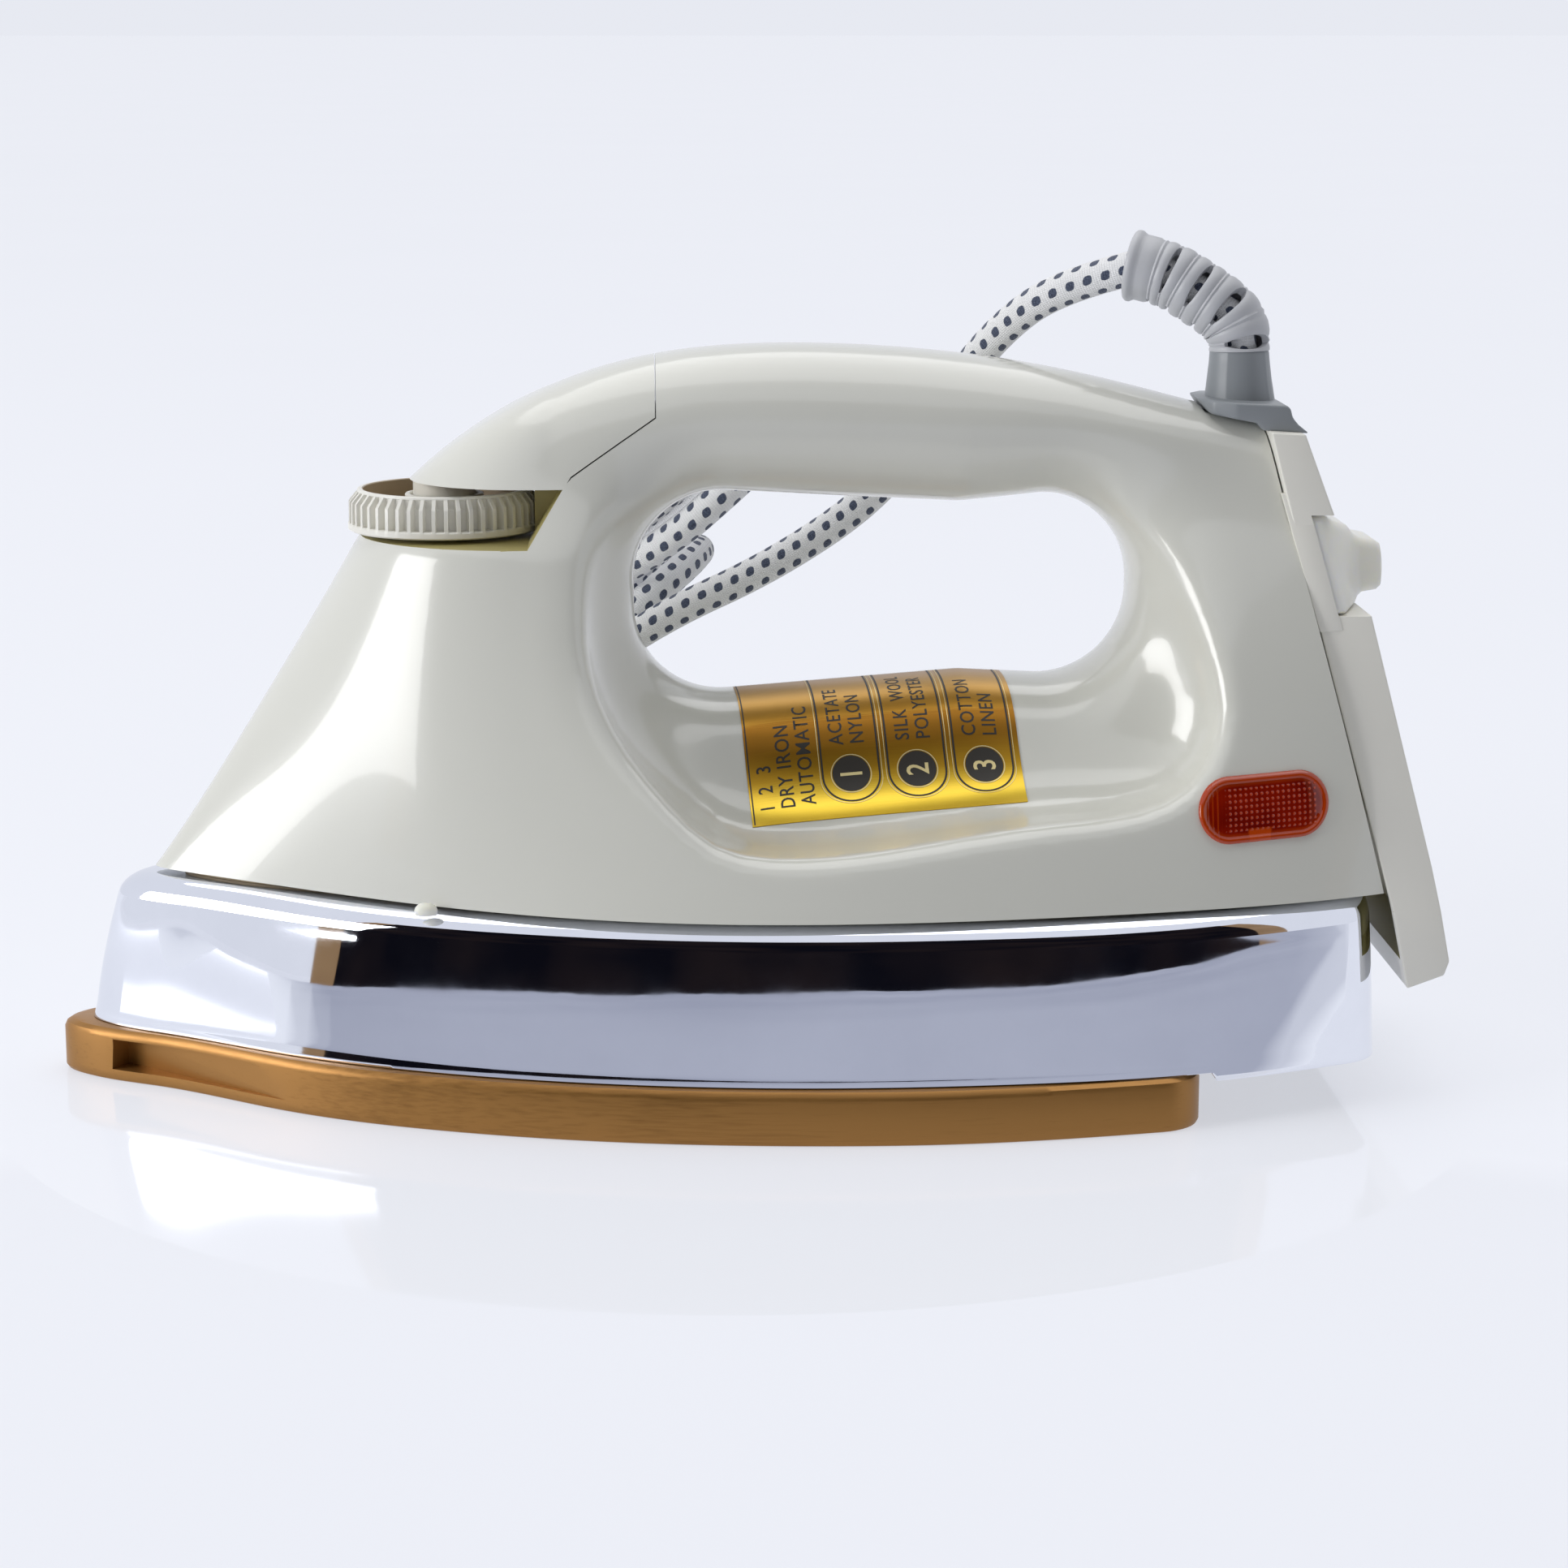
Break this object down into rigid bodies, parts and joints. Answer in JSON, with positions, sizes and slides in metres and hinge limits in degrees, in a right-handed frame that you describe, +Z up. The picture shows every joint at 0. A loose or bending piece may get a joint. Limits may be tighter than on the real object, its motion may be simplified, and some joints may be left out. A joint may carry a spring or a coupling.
{
  "type": "clothes iron",
  "caption": "Heavy dry clothes iron: pointed soleplate under a plated cover, moulded body with hand hole, nose dial, rear heel cover and braided mains lead wound in a hank.",
  "frame": {"origin": "centre of the iron's box on the plane of the soleplate's face, the lead left out", "axes": "-X to the soleplate's tip, +X to the heel, +Z up from the soleplate's face, the iron symmetric about Y = 0"},
  "size_m": [0.255, 0.1796, 0.155],
  "materials": {
    "soleplate_coating": "satin gold-bronze coated casting",
    "plated_steel": "mirror plated",
    "cast_iron": "rough cast",
    "steel": "plain bright steel",
    "brass": "brass, dull",
    "ivory_gloss": "glossy moulded ivory white",
    "ivory_matt": "matt moulded ivory",
    "nylon": "translucent natural nylon",
    "grey_pvc": "soft grey moulding",
    "red_lens": "clear red moulding with a dot grid inside",
    "lamp_glass": "clear glass",
    "gold_foil": "brushed gold foil",
    "phenolic": "dark phenolic",
    "ceramic": "unglazed steatite",
    "mica": "pressed mica board",
    "braid": "white cotton braid with dark blue flecks",
    "plug_plastic": "grey moulded vinyl"
  },
  "bodies": {
    "base": {"bimetal_strip": "brass", "body_shell": "ivory_gloss", "chrome_cover": "plated_steel", "clamp_screws": "steel", "contact_arm_root": "brass", "cord_clamp": "phenolic", "cord_guard": "grey_pvc", "cord_hook": "nylon", "element_terminals": "steel", "fixed_contact_arm": "brass", "heat_shield": "mica", "heating_element": "steel", "label_plate": "gold_foil", "lamp_holder": "phenolic", "lamp_lens": "red_lens", "lead_hank": "braid", "lead_tie": "plug_plastic", "lead_to_hank": "braid", "lead_to_plug": "braid", "locating_pips": "nylon", "mounting_studs": "steel", "nose_cover": "ivory_gloss", "pilot_lamp": "lamp_glass", "plate_nuts": "steel", "plug_blades": "brass", "plug_body": "plug_plastic", "pressure_plate": "cast_iron", "rear_cover": "ivory_matt", "soleplate": "soleplate_coating", "stack_insulators": "ceramic", "stack_screw": "steel", "terminal_block": "phenolic", "terminal_screws": "brass", "thermal_fuse": "ceramic", "thermostat_bridge": "steel", "wave_washer": "steel"},
    "dial": {"dial": "ivory_matt", "dial_plate": "phenolic", "dial_shaft": "steel"},
    "adjuster": {"adjusting_screw": "ceramic"},
    "contact_arm": {"moving_contact_arm": "brass"}
  },
  "joints": [
    {"name": "dial_turn", "type": "hinge", "parent": "base", "child": "dial", "pos_m": [-0.0543, 0, 0.1021], "axis": [0, 0, 1], "range_deg": [0, 270]},
    {"name": "adjuster_travel", "type": "slide", "parent": "dial", "child": "adjuster", "axis": [0, 0, -1], "range_m": [0, 0.00054]},
    {"name": "contact_arm_bend", "type": "hinge", "parent": "base", "child": "contact_arm", "pos_m": [-0.042, 0, 0.0217], "axis": [0, -1, 0], "range_deg": [0, 2.5]}
  ],
  "couplings": [
    {"joint": "adjuster_travel", "follows": "dial_turn", "m_per_rad": 0.00011141},
    {"joint": "contact_arm_bend", "follows": "dial_turn", "ratio": 0.0090576}
  ]
}
